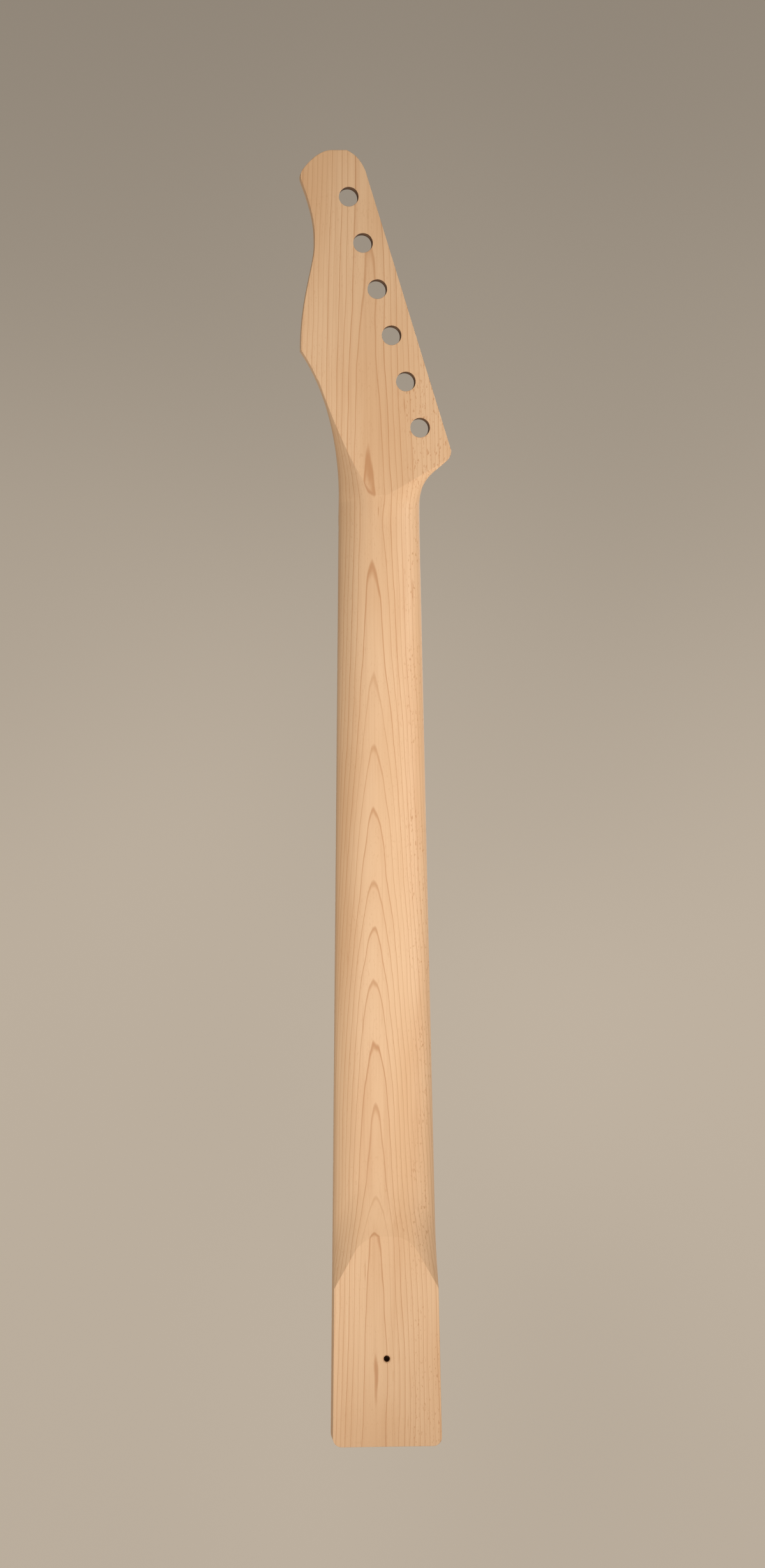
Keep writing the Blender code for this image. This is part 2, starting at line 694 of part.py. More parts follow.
def make_truss_rod(parts, cutters, steel, brass):
    """Two-way truss rod: the screw and its adjuster turn; the bar and both blocks stay in the channel."""
    axis = bpy.data.objects.new("truss_rod_axis", None)
    parts.objects.link(axis)
    axis.location = (0, ROD_AXIS, ADJUSTER_LOW_Z)
    width = CHANNEL_WIDTH - 2 * ROD_FIT
    bore = ROD_DIAMETER / 2 + ROD_HOLE_CLEARANCE
    heel_block_low = HEEL_END + CHANNEL_FROM_END + CHANNEL_WIDTH / 2
    head_block_high = ADJUSTER_LOW_Z - ACCESS_WIDTH / 2 - ROD_FIT
    bar_floor = ROD_AXIS + ROD_DIAMETER / 2 + ROD_FLOOR_CLEARANCE
    bar_ceiling = bar_floor + BAR_THICKNESS

    screw_low = heel_block_low + ROD_FIT - ADJUSTER_LOW_Z
    screw_high = ADJUSTER_BORE_DEPTH - ROD_HOLE_CLEARANCE
    chamfer = ROD_DIAMETER / 8
    radius = ROD_DIAMETER / 2
    screw = turned(
        "truss_rod_screw",
        ((0, screw_high), (radius - chamfer, screw_high), (radius, screw_high - chamfer),
         (radius, screw_low + chamfer), (radius - chamfer, screw_low), (0, screw_low)),
        parts, steel, steps=20,
    )
    screw.parent = axis

    radius = ADJUSTER_DIAMETER / 2
    adjuster = turned(
        "truss_rod_adjuster",
        ((0, ADJUSTER_LENGTH), (radius - chamfer, ADJUSTER_LENGTH), (radius, ADJUSTER_LENGTH - chamfer),
         (radius, chamfer), (radius - chamfer, 0), (bore, 0), (bore, ADJUSTER_BORE_DEPTH),
         (0, ADJUSTER_BORE_DEPTH)),
        parts, steel, steps=24,
    )
    adjuster.parent = axis
    socket = cylinders(
        "hex_socket_cutter", HEX_SOCKET_SIZE / math.sqrt(3), HEX_SOCKET_DEPTH + MM,
        [Matrix.Translation((0, 0, ADJUSTER_LENGTH - HEX_SOCKET_DEPTH))], cutters, steps=6,
    )
    socket.parent = axis
    cut(adjuster, socket)

    box(
        "truss_rod_bar", (-width / 2, bar_floor, heel_block_low),
        (width / 2, bar_ceiling, head_block_high), parts, steel,
    )
    for name, low in (("heel", heel_block_low), ("head", head_block_high - BLOCK_LENGTH)):
        block = box(
            f"truss_rod_{name}_block", (-width / 2, CHANNEL_FLOOR + ROD_FLOOR_CLEARANCE, low),
            (width / 2, bar_floor - ROD_FIT, low + BLOCK_LENGTH), parts, brass,
        )
        hole = cylinders(
            f"{name}_block_hole_cutter", bore, BLOCK_LENGTH + 2 * MM,
            [Matrix.Translation((0, ROD_AXIS, low - MM))], cutters, steps=24,
        )
        cut(block, hole)


def main():
    clear_scene()
    parts = new_collection("guitar_neck")
    cutters = new_collection("cutters")
    maple = material("maple", (0.72, 0.45, 0.24), 0.5)
    board_maple = material("board_maple", (0.74, 0.49, 0.27), 0.4)
    bone = material("bone", (0.82, 0.78, 0.68), 0.35)
    nickel = material("nickel_silver", (0.72, 0.70, 0.66), 0.22, 1.0)
    black = material("black_dot", (0.02, 0.02, 0.02), 0.35)
    steel = material("rod_steel", (0.42, 0.42, 0.43), 0.35, 1.0)
    brass = material("block_brass", (0.62, 0.46, 0.2), 0.35, 1.0)
    make_neck(parts, cutters, maple)
    make_fingerboard(parts, cutters, board_maple)
    make_nut(parts, bone)
    make_frets(parts, nickel)
    make_dots(parts, black)
    make_truss_rod(parts, cutters, steel, brass)


main()
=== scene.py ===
import math

import bmesh
import bpy
import numpy as np
from bpy.props import FloatProperty, FloatVectorProperty, PointerProperty
from mathutils import Matrix, Vector
from mathutils.geometry import interpolate_bezier


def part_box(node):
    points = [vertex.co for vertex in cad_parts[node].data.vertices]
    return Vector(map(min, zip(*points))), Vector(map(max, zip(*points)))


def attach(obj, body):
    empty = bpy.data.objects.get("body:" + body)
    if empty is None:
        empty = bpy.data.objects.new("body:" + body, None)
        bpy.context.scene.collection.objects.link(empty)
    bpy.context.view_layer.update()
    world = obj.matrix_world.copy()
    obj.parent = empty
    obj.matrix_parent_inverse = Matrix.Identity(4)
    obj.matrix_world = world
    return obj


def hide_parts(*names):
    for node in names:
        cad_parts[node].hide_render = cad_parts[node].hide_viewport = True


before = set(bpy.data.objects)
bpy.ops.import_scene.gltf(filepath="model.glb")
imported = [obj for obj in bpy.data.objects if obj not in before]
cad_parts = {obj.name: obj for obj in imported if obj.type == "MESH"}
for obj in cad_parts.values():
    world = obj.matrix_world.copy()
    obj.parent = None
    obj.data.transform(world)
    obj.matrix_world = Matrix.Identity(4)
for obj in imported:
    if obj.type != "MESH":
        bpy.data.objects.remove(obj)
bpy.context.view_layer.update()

bl_info = {
    "name": "Guitar neck",
    "version": (1, 0, 0),
    "blender": (4, 5, 0),
    "location": "View3D > Sidebar > Guitar neck",
    "description": "Builds the visible pieces of a bare maple guitar neck, their finishes and the stage",
    "category": "Object",
}

MM = 0.001
NECK_BODY = "neck_body"
TREBLE, BASS = -1, 1
SMOOTH_ANGLE = math.radians(35)
FLAT_CREASE = math.radians(2.5)
FLAT_MARGIN = 1e-5
MERGE_DISTANCE = 0.001 * MM

# Sizes of the neck's shape, as in the solids. Heights are above the heel's lower end.
GLUE_LINE = 0.05 * MM
BOARD_THICKNESS = 6.0 * MM
SIDE_FLAT = 1.5 * MM
SPINE_WIDTH = 6.0 * MM
SHAFT_THICKNESS_AT_NUT = 20.8 * MM
SHAFT_THICKNESS_AT_HEEL = 22.8 * MM
HEEL_CORNER = 4.6 * MM
HEEL_SIDE_HEIGHT = 81.0 * MM
HEEL_SHOULDER_HEIGHT = 101.0 * MM
HEEL_SHOULDER_WIDTH = 30.6 * MM
HEEL_FLAT_HEIGHT = 107.5 * MM
HEEL_SWEEP = 32.0 * MM
HEAD_FACE_DROP = 7.8 * MM
HEAD_THICKNESS = 14.2 * MM
HEAD_SWEEP = 18.0 * MM
SCOOP_RADIUS = 20.0 * MM
BOARD_LIP = 0.4 * MM
LEDGE = 4.0 * MM
NOTCH_ON_LEDGE = 0.35
NUT_THICKNESS = 3.2 * MM
NUT_SLOT_DEPTH = 3.2 * MM
TUNER_COUNT = 6
INDEX_HOLE_HEIGHT = 45.0 * MM
INDEX_HOLE_DEPTH = 7.0 * MM
INDEX_HOLE_CHAMFER = 0.6 * MM
CHANNEL_DEPTH = 10.0 * MM
CHANNEL_WIDTH = 6.6 * MM
CHANNEL_FROM_END = 12.0 * MM
ACCESS_WIDTH = 8.4 * MM
ACCESS_PAST_SCOOP = 8.6 * MM
DOT_POCKET_REACH = 3.0 * MM
FRET_SLOT_WIDTH = 0.6 * MM
FRET_SLOT_DEPTH = 2.0 * MM
FRET_TANG_DEPTH = 1.6 * MM
FRET_END_SLOPE = math.radians(35)
FRET_END_INSET = 0.15 * MM

# Handles of the arch over the heel's shoulders, as shares of their width and of the rise to its top
HEEL_ARCH = ((0.4, 0.65), (0.25, 1.0))

# How far the cutters stand out of what they cut
NECK_CUT_MARGIN = 2.0 * MM
BOARD_CUT_MARGIN = 1.0 * MM

# How finely the shown pieces are divided
CURVE_POINTS = 97
SIDE_STEPS = 22
BOARD_STEPS = 27
FRET_STEPS = 16
FRET_SLOT_STEPS = 12
CROWN_STEPS = 12
HOLE_STEPS = 72
SIDE_DOT_STEPS = 32
SLOT_END_STEPS = 24
FLOOR_STEPS = 96

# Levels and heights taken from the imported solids
NECK_LOW, NECK_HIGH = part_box("neck")
HEEL_END = NECK_LOW[2]
TIP_Z = NECK_HIGH[2]
BOARD_PLANE = NECK_HIGH[1]
HEEL_THICKNESS = BOARD_PLANE + BOARD_THICKNESS
NUT_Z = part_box("nut")[0][2] - GLUE_LINE
HEAD_FACE = HEEL_THICKNESS - HEAD_FACE_DROP
HEAD_BACK = HEAD_FACE - HEAD_THICKNESS
CHANNEL_FLOOR = BOARD_PLANE - CHANNEL_DEPTH
LEDGE_Z = NUT_Z + NUT_THICKNESS + LEDGE
SCOOP_FOOT_Z = LEDGE_Z + math.sqrt(SCOOP_RADIUS**2 - (SCOOP_RADIUS - HEAD_FACE_DROP) ** 2)
ADJUSTER_LOW_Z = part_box("truss_rod_adjuster")[0][2]
ACCESS_HIGH_Z = SCOOP_FOOT_Z + ACCESS_PAST_SCOOP
FRETS = sorted(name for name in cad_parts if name.startswith("fret_"))
FACE_DOTS = sorted(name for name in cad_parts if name.startswith("dot_"))
SIDE_DOTS = sorted(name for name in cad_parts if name.startswith("side_dot_"))

# Outlines are chains of cubic curves, in mm from the centre line and above the nut's front edge.
# A chain is its start, then two handles and an end for each curve.
NUT_HALF = (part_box("nut")[1][0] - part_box("nut")[0][0]) / 2 / MM
TIP_HEIGHT = (TIP_Z - NUT_Z) / MM
HORN_HEIGHT = 92.1
NOSE_HIGH_HEIGHT = TIP_HEIGHT - 9.8
NOSE_LOW_HEIGHT = NOSE_HIGH_HEIGHT - 6.2
THROAT_HEIGHT = NOSE_LOW_HEIGHT - 31.5
DRILLED_EDGE_FOOT = (36.15, 41.2)
DRILLED_EDGE_TOP = (-5.9, TIP_HEIGHT - 12.8)
FIRST_TUNER = Vector((20.5, 52.3))
LAST_TUNER = Vector((-15.2, TIP_HEIGHT - 23.8))
HEAD_FLAT_HEIGHT = 17.9
FLAT_MERGE_HEIGHT = 77.5

HEAD_OUTLINE = {
    TREBLE: (
        (NUT_HALF, 0.0),
        (NUT_HALF, 0.0), (NUT_HALF, 14.1), (NUT_HALF, 14.1),
        (NUT_HALF, 20.5), (19.4, 61.4), (40.1, HORN_HEIGHT),
        (40.3, HORN_HEIGHT + 26.3), (32.7, THROAT_HEIGHT - 10.7), (32.7, THROAT_HEIGHT),
        (32.7, THROAT_HEIGHT + 7.9), (32.8, THROAT_HEIGHT + 14.7), (39.1, NOSE_LOW_HEIGHT),
        (40.0, NOSE_LOW_HEIGHT + 2.5), (39.9, NOSE_HIGH_HEIGHT - 1.9), (38.6, NOSE_HIGH_HEIGHT),
        (37.0, NOSE_HIGH_HEIGHT + 2.0), (31.0, TIP_HEIGHT), (23.7, TIP_HEIGHT),
    ),
    BASS: (
        (NUT_HALF, 0.0),
        (NUT_HALF, 0.0), (NUT_HALF, 13.2), (NUT_HALF, 13.2),
        (20.5, 26.9), (27.2, 28.8), (34.5, 35.7),
        (35.6, 36.8), (36.8, 39.2), DRILLED_EDGE_FOOT,
        DRILLED_EDGE_FOOT, DRILLED_EDGE_TOP, DRILLED_EDGE_TOP,
        (-6.2, TIP_HEIGHT - 11.7), (-8.1, TIP_HEIGHT - 3.7), (-16.1, TIP_HEIGHT),
    ),
}
HEAD_FLAT_EDGE = {
    TREBLE: ((2.1, HEAD_FLAT_HEIGHT), (14.9, 27.5), (30.2, 73.8), (31.6, FLAT_MERGE_HEIGHT)),
    BASS: ((3.4, HEAD_FLAT_HEIGHT), (3.4, HEAD_FLAT_HEIGHT), (37.3, 37.5), (37.3, 37.5)),
}


class NeckSizes(bpy.types.PropertyGroup):
    heel_width: FloatProperty(
        name="Heel width", description="Width at the heel's lower end", unit="LENGTH", default=56 * MM)
    board_radius: FloatProperty(
        name="Board radius", description="Radius of the fingerboard's crowned face", unit="LENGTH",
        default=304.8 * MM)
    roundness: FloatProperty(
        name="Roundness", description="How square the shaft's back is: 2 is an ellipse", default=2.2)
    tuner_hole: FloatProperty(
        name="Tuner hole", description="Diameter of the tuner holes", unit="LENGTH", default=10 * MM)
    index_hole: FloatProperty(
        name="Index hole", description="Diameter of the small hole in the heel", unit="LENGTH",
        default=3.2 * MM)
    fret_width: FloatProperty(
        name="Fret width", description="Width of a fret's crown", unit="LENGTH", default=2.4 * MM)
    fret_height: FloatProperty(
        name="Fret height", description="Height of a fret's crown", unit="LENGTH", default=1.1 * MM)
    ring_spacing: FloatProperty(
        name="Ring spacing", description="Distance between the maple's growth rings", unit="LENGTH",
        default=2.35 * MM)


class NeckColours(bpy.types.PropertyGroup):
    maple_pale: FloatVectorProperty(
        name="Pale maple", description="Lightest wood", subtype="COLOR", default=(0.78, 0.525, 0.325))
    maple_warm: FloatVectorProperty(
        name="Warm maple", description="Wood between the light patches", subtype="COLOR",
        default=(0.72, 0.455, 0.262))
    maple_line: FloatVectorProperty(
        name="Ring line", description="Thin late wood of each ring", subtype="COLOR",
        default=(0.49, 0.220, 0.088))
    # Painted shade: the drilled walls' colour is darker end grain, darkened further as painted shade inside
    # the holes
    shaded_holes: FloatVectorProperty(
        name="Drilled wall", description="Darkened wood inside the tuner holes", subtype="COLOR",
        default=(0.30, 0.155, 0.075))
    bone: FloatVectorProperty(
        name="Bone", description="The nut", subtype="COLOR", default=(0.80, 0.74, 0.62))
    nickel: FloatVectorProperty(
        name="Nickel silver", description="The frets", subtype="COLOR", default=(0.68, 0.66, 0.61))
    dot: FloatVectorProperty(
        name="Dot", description="The position dots", subtype="COLOR", default=(0.022, 0.021, 0.020))
    steel: FloatVectorProperty(
        name="Steel", description="The truss rod", subtype="COLOR", default=(0.40, 0.40, 0.41))
    brass: FloatVectorProperty(
        name="Brass", description="The truss rod's blocks", subtype="COLOR", default=(0.60, 0.43, 0.18))
    backdrop: FloatVectorProperty(
        name="Backdrop", description="Colour behind the neck", subtype="COLOR",
        default=(0.50, 0.425, 0.34))


# Shape of the neck


def sampled(chain, base):
    """Points along a chain of cubic curves as two arrays: reach from the centre line, and height."""
    points = []
    for first in range(0, len(chain) - 1, 3):
        knots = [Vector((x, y, 0)) for x, y in chain[first : first + 4]]
        points += interpolate_bezier(*knots, CURVE_POINTS)[:-1]
    points.append(Vector((*chain[-1], 0)))
    reach = np.array([point.x for point in points]) * MM
    height = np.array([point.y for point in points]) * MM + base
    return reach, height


def ease(share):
    return math.sin(math.pi / 2 * min(1.0, max(0.0, share)))


def scoop_level(z):
    """Level of the concave fall from the board's end to the headstock's face."""
    across = max(0.0, SCOOP_FOOT_Z - z)
    return HEAD_FACE + SCOOP_RADIUS - math.sqrt(max(0.0, SCOOP_RADIUS**2 - across**2))


BOARD_END_LEVEL = BOARD_PLANE + GLUE_LINE + BOARD_LIP
BOARD_END_Z = SCOOP_FOOT_Z - math.sqrt(
    SCOOP_RADIUS**2 - (SCOOP_RADIUS - BOARD_END_LEVEL + HEAD_FACE) ** 2
)
HEEL_FLAT_Z = HEEL_END + HEEL_FLAT_HEIGHT
HEAD_FLAT_Z = NUT_Z + HEAD_FLAT_HEIGHT * MM


def front_level(z):
    return BOARD_PLANE if z <= BOARD_END_Z else min(BOARD_PLANE, scoop_level(z))


def shaft_back(z):
    share = min(1.0, max(0.0, (z - HEEL_FLAT_Z) / (NUT_Z - HEEL_FLAT_Z)))
    thickness = SHAFT_THICKNESS_AT_HEEL + (SHAFT_THICKNESS_AT_NUT - SHAFT_THICKNESS_AT_HEEL) * share
    return HEEL_THICKNESS - thickness


class NeckForm:
    """The neck's outline and sections, from its sizes."""

    def __init__(self, sizes):
        self.sizes = sizes
        self.outlines = {side: sampled(chain, NUT_Z) for side, chain in HEAD_OUTLINE.items()}
        self.head_flats = {side: sampled(chain, NUT_Z) for side, chain in HEAD_FLAT_EDGE.items()}
        foot = (self.half_width(HEEL_END + HEEL_SIDE_HEIGHT) / MM, HEEL_SIDE_HEIGHT / MM)
        shoulder = (HEEL_SHOULDER_WIDTH / 2 / MM, HEEL_SHOULDER_HEIGHT / MM)
        arch = []
        for across, up in HEEL_ARCH:
            height = HEEL_SHOULDER_HEIGHT * (1 - up) + HEEL_FLAT_HEIGHT * up
            arch.append((HEEL_SHOULDER_WIDTH * across / MM, height / MM))
        top = (SPINE_WIDTH / 2 / MM, HEEL_FLAT_HEIGHT / MM)
        self.heel_flat = sampled((foot, foot, shoulder, shoulder, *arch, top), HEEL_END)

    def half_width(self, z):
        share = (z - HEEL_END) / (NUT_Z - HEEL_END)
        return (self.sizes.heel_width + (2 * NUT_HALF * MM - self.sizes.heel_width) * share) / 2

    def edge_reach(self, side, z):
        """Distance of the neck's side from the centre line, at one height."""
        if z > NUT_Z:
            reach, height = self.outlines[side]
            return float(np.interp(z, height, reach))
        below = max(0.0, HEEL_CORNER - (z - HEEL_END))
        return self.half_width(z) - HEEL_CORNER + math.sqrt(max(0.0, HEEL_CORNER**2 - below**2))

    def flat_reach(self, side, z):
        """Distance from the centre line to the edge of the flat back, or of the shaft's spine."""
        edge = self.edge_reach(side, z)
        if z <= HEEL_END + HEEL_SIDE_HEIGHT or z >= NUT_Z + FLAT_MERGE_HEIGHT * MM:
            return edge
        reach, height = self.heel_flat if z < HEAD_FLAT_Z else self.head_flats[side]
        return min(edge, float(np.interp(z, height, reach)))

    def back_level(self, side, reach, z):
        """Level of the back: the rounded shaft, eased into the heel's and the headstock's flats."""
        if z < (HEEL_END + NUT_Z) / 2:
            flat = 0.0
            flat_edge = float(np.interp(-reach, -self.heel_flat[0], self.heel_flat[1]))
            rounded = ease((z - flat_edge) / HEEL_SWEEP)
        else:
            flat = HEAD_BACK
            flat_edge = float(np.interp(reach, *self.head_flats[side]))
            rounded = ease((flat_edge - z) / HEAD_SWEEP)
        if rounded == 0.0:
            return flat
        share = min(1.0, reach / self.edge_reach(side, z))
        side_foot = front_level(z) - SIDE_FLAT
        curve = (1 - share**self.sizes.roundness) ** (1 / self.sizes.roundness)
        return flat + (side_foot - (side_foot - shaft_back(z)) * curve - flat) * rounded

    def section(self, z):
        """Outline at one height, from the treble side round the back to the bass side."""
        sides = {}
        for side in (TREBLE, BASS):
            edge = self.edge_reach(side, z)
            flat = self.flat_reach(side, z)
            points = [Vector((side * edge, front_level(z), z))]
            for step in range(SIDE_STEPS + 1):
                reach = flat + (edge - flat) * math.cos(math.pi / 2 * step / SIDE_STEPS)
                points.append(Vector((side * reach, self.back_level(side, reach, z), z)))
            sides[side] = points
        centre = (sides[TREBLE][-1].x + sides[BASS][-1].x) / 2
        middle = Vector((centre, self.back_level(BASS if centre > 0 else TREBLE, abs(centre), z), z))
        if z > HEAD_FLAT_Z:
            middle.y = HEAD_BACK
        return sides[TREBLE] + [middle] + sides[BASS][::-1]

    def board_level(self, reach):
        radius = self.sizes.board_radius
        return HEEL_THICKNESS - radius + math.sqrt(radius**2 - reach**2)

    def board_section(self, z):
        """Outline of the fingerboard at one height: its flat underside, then its face."""
        sides = (-self.edge_reach(TREBLE, z), self.edge_reach(BASS, z))
        points = [Vector((side, BOARD_PLANE + GLUE_LINE, z)) for side in sides]
        for step in range(BOARD_STEPS + 1):
            x = sides[1] + (sides[0] - sides[1]) * step / BOARD_STEPS
            level = min(self.board_level(x), scoop_level(z)) if z > LEDGE_Z else self.board_level(x)
            points.append(Vector((x, level, z)))
        return points

    def crowned_bar(self, built, z, profile, half_length, end_slope, steps):
        """Bar across the board that follows its crown: the profile is (along, above the board) pairs."""
        sections = []
        for step in range(steps + 1):
            share = 2 * step / steps - 1
            section = []
            for along, above in profile:
                reach = share * (half_length - max(0.0, above) * end_slope)
                section.append(Vector((reach, self.board_level(reach) + above, z + along)))
            sections.append(section)
        add_loft(built, sections)


def spread(low, high, count, shape=lambda share: share):
    return [low + (high - low) * shape(step / count) for step in range(1, count + 1)]


def slow_start(share):
    return 1 - math.cos(math.pi / 2 * share)


def slow_end(share):
    return math.sin(math.pi / 2 * share)


# How high each stretch of sections reaches, its count of sections, and how they are spread
HEEL_CORNER_STRETCH = (HEEL_END + HEEL_CORNER, 12, slow_start)
NECK_STRETCHES = (
    HEEL_CORNER_STRETCH,
    (HEEL_END + HEEL_SIDE_HEIGHT, 3),
    (HEEL_END + HEEL_SHOULDER_HEIGHT, 22),
    (HEEL_FLAT_Z, 16, slow_end),
    (HEEL_FLAT_Z + HEEL_SWEEP, 26),
    (NUT_Z, 16),
    (BOARD_END_Z, 10),
    (HEAD_FLAT_Z, 5),
    (SCOOP_FOOT_Z, 8),
    (NUT_Z + DRILLED_EDGE_FOOT[1] * MM, 26),
    (NUT_Z + FLAT_MERGE_HEIGHT * MM, 26),
    (NUT_Z + HORN_HEIGHT * MM, 10),
    (NUT_Z + THROAT_HEIGHT * MM, 26),
    (NUT_Z + NOSE_LOW_HEIGHT * MM, 16),
    (NUT_Z + NOSE_HIGH_HEIGHT * MM, 12),
    (TIP_Z, 24, slow_end),
)
BOARD_STRETCHES = (HEEL_CORNER_STRETCH, (NUT_Z, 24), (LEDGE_Z, 2), (BOARD_END_Z, 16))


def section_heights(stretches):
    """Heights of the sections from the heel's end up: close where the shape turns."""
    heights = [HEEL_END]
    for high, *how in stretches:
        heights += spread(heights[-1], high, *how)
    return heights


# Meshes, and what is cut out of them


def add_loft(built, sections):
    """Skin between closed sections of equal counts, capped at both ends."""
    rings = [[built.verts.new(point) for point in section] for section in sections]
    for lower, upper in zip(rings, rings[1:]):
        for here in range(len(lower)):
            there = (here + 1) % len(lower)
            built.faces.new((lower[here], lower[there], upper[there], upper[here]))
    built.faces.new(rings[0][::-1])
    built.faces.new(rings[-1])


def piece(name, built):
    """Object of a bmesh, smooth where its faces meet at a shallow angle."""
    bmesh.ops.recalc_face_normals(built, faces=built.faces)
    mesh = bpy.data.meshes.new(name)
    built.to_mesh(mesh)
    built.free()
    mesh.shade_smooth()
    mesh.set_sharp_from_angle(angle=SMOOTH_ANGLE)
    made = bpy.data.objects.new(name, mesh)
    bpy.context.scene.collection.objects.link(made)
    return made


def loft(name, sections):
    built = bmesh.new()
    add_loft(built, sections)
    bmesh.ops.remove_doubles(built, verts=built.verts, dist=MERGE_DISTANCE)
    return piece(name, built)


def carved(target, cutters):
    """Takes the cutters out of the target for good, and removes them."""
    for cutter in cutters:
        boolean = target.modifiers.new(cutter.name, "BOOLEAN")
        boolean.operation = "DIFFERENCE"
        boolean.solver = "EXACT"
        boolean.object = cutter
    bpy.context.view_layer.update()
    depsgraph = bpy.context.evaluated_depsgraph_get()
    mesh = bpy.data.meshes.new_from_object(target.evaluated_get(depsgraph))
    if not mesh.polygons:
        raise RuntimeError(f"cutting {target.name} left nothing")
    mesh.name = target.name
    target.modifiers.clear()
    target.data = mesh
    mesh.shade_smooth()
    mesh.set_sharp_from_angle(angle=SMOOTH_ANGLE)
    for cutter in cutters:
        bpy.data.objects.remove(cutter, do_unlink=True)


def crease_flats(mesh):
    """Keeps the border crisp where a curved surface runs into the flat back."""
    built = bmesh.new()
    built.from_mesh(mesh)
    for edge in built.edges:
        if len(edge.link_faces) == 2 and edge.calc_face_angle() > FLAT_CREASE:
            flats = [abs(face.normal.y + 1) < FLAT_MARGIN for face in edge.link_faces]
            if flats[0] != flats[1]:
                edge.smooth = False
    built.to_mesh(mesh)
    built.free()


def add_rod(built, place, radius_low, radius_high, length, steps=HOLE_STEPS):
    """Round or tapered rod along the place's Z axis, from the place towards its +Z."""
    bmesh.ops.create_cone(
        built, cap_ends=True, segments=steps, radius1=radius_low, radius2=radius_high, depth=length,
        matrix=place @ Matrix.Translation((0, 0, length / 2)),
    )


def add_slot(built, width, low, high, floor, ceiling):
    """Routed slot along Z with round ends."""
    radius = width / 2
    outline = []
    for middle, start in ((high - radius, 0.0), (low + radius, math.pi)):
        for step in range(SLOT_END_STEPS + 1):
            angle = start + math.pi * step / SLOT_END_STEPS
            outline.append((radius * math.cos(angle), middle + radius * math.sin(angle)))
    add_loft(built, [[Vector((x, level, z)) for x, z in outline] for level in (floor, ceiling)])


def tuner_centres():
    for number in range(TUNER_COUNT):
        spot = FIRST_TUNER.lerp(LAST_TUNER, number / (TUNER_COUNT - 1)) * MM
        yield Vector((spot.x, HEAD_BACK, NUT_Z + spot.y))


INTO_BACK = Matrix.Rotation(-math.pi / 2, 4, "X")
OUT_OF_BASS_EDGE = Matrix.Rotation(math.pi / 2, 4, "Y")


def show(made, finish, node):
    """Gives a piece its finish, sets it on the neck and stands it in for a CAD node."""
    made.data.materials.clear()
    made.data.materials.append(finish)
    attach(made, NECK_BODY)
    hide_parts(node)


def refinish(node, finish):
    """Gives a CAD node that stays in the scene its finish."""
    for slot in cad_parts[node].material_slots:
        slot.material = finish


# Shader nodes


class Wire:
    """A node's output that does sums: each operator adds a Math node."""

    def __init__(self, nodes, socket):
        self.nodes = nodes
        self.socket = socket

    def sum(self, operation, *values):
        return self.nodes.node("ShaderNodeMath", {"operation": operation}, dict(enumerate(values)))

    def __add__(self, other):
        return self.sum("ADD", self, other)

    def __radd__(self, other):
        return self.sum("ADD", other, self)

    def __sub__(self, other):
        return self.sum("SUBTRACT", self, other)

    def __rsub__(self, other):
        return self.sum("SUBTRACT", other, self)

    def __mul__(self, other):
        return self.sum("MULTIPLY", self, other)

    def __rmul__(self, other):
        return self.sum("MULTIPLY", other, self)

    def __truediv__(self, other):
        return self.sum("DIVIDE", self, other)

    def __rtruediv__(self, other):
        return self.sum("DIVIDE", other, self)

    def __pow__(self, other):
        return self.sum("POWER", self, other)

    def __rpow__(self, other):
        return self.sum("POWER", other, self)

    def between(self, low, high, low_result=0.0, high_result=1.0):
        """Goes smoothly from one result to the other as the value crosses a range."""
        return self.nodes.node(
            "ShaderNodeMapRange", {"interpolation_type": "SMOOTHSTEP"},
            {"Value": self, "From Min": low, "From Max": high, "To Min": low_result, "To Max": high_result},
        )


# Sockets of a Mix node that mixes colours
MIX_FACTOR, MIX_FIRST, MIX_SECOND, MIX_RESULT = 0, 6, 7, 2


class Nodes:
    """A node tree, and the one method that adds to it."""

    def __init__(self, tree):
        self.tree = tree

    def feed(self, socket, value):
        if isinstance(value, Wire):
            self.tree.links.new(value.socket, socket)
        elif socket.type == "RGBA" and len(value) == 3:
            socket.default_value = (*value, 1.0)
        else:
            socket.default_value = value

    def node(self, kind, settings=None, sockets=None, outputs=(0,)):
        """Adds a node, its settings before its sockets. One output comes back as a Wire, more as a list."""
        made = self.tree.nodes.new(kind)
        for key, value in (settings or {}).items():
            setattr(made, key, value)
        for key, value in (sockets or {}).items():
            self.feed(made.inputs[key], value)
        wires = [Wire(self, made.outputs[key]) for key in outputs]
        return wires[0] if len(wires) == 1 else wires

    def blend(self, factor, first, second, how="MIX"):
        """Mix of two colours."""
        return self.node(
            "ShaderNodeMix", {"data_type": "RGBA", "blend_type": how},
            {MIX_FACTOR: factor, MIX_FIRST: first, MIX_SECOND: second}, (MIX_RESULT,),
        )

    def place(self, kind="Object"):
        """Place on a piece in metres, or with Generated a direction in the world."""
        return self.node("ShaderNodeTexCoord", outputs=(kind,))

    def noise(self, place, scales, detail=2.0, roughness=0.5):
        """Noise with its own scale along each axis, on a piece in cycles per metre."""
        scaled = self.node("ShaderNodeVectorMath", {"operation": "MULTIPLY"}, {0: place, 1: scales})
        return self.node(
            "ShaderNodeTexNoise", None,
            {"Vector": scaled, "Scale": 1.0, "Detail": detail, "Roughness": roughness},
        )


class Finish(Nodes):
    """One material: its shader's plain values are given at the start, by socket."""

    def __init__(self, name, plain):
        self.material = bpy.data.materials.new(name)
        self.material.use_nodes = True
        super().__init__(self.material.node_tree)
        self.shader = self.tree.nodes["Principled BSDF"]
        for socket, value in plain.items():
            self.set(socket, value)

    def set(self, name, value):
        self.feed(self.shader.inputs[name], value)

    def bump(self, height, strength, distance, normal=None):
        sockets = {"Height": height, "Strength": strength, "Distance": distance}
        if normal:
            sockets["Normal"] = normal
        self.set("Normal", self.node("ShaderNodeBump", None, sockets))


def shade(colour, share):
    return tuple(channel * share for channel in colour)


# Finishes

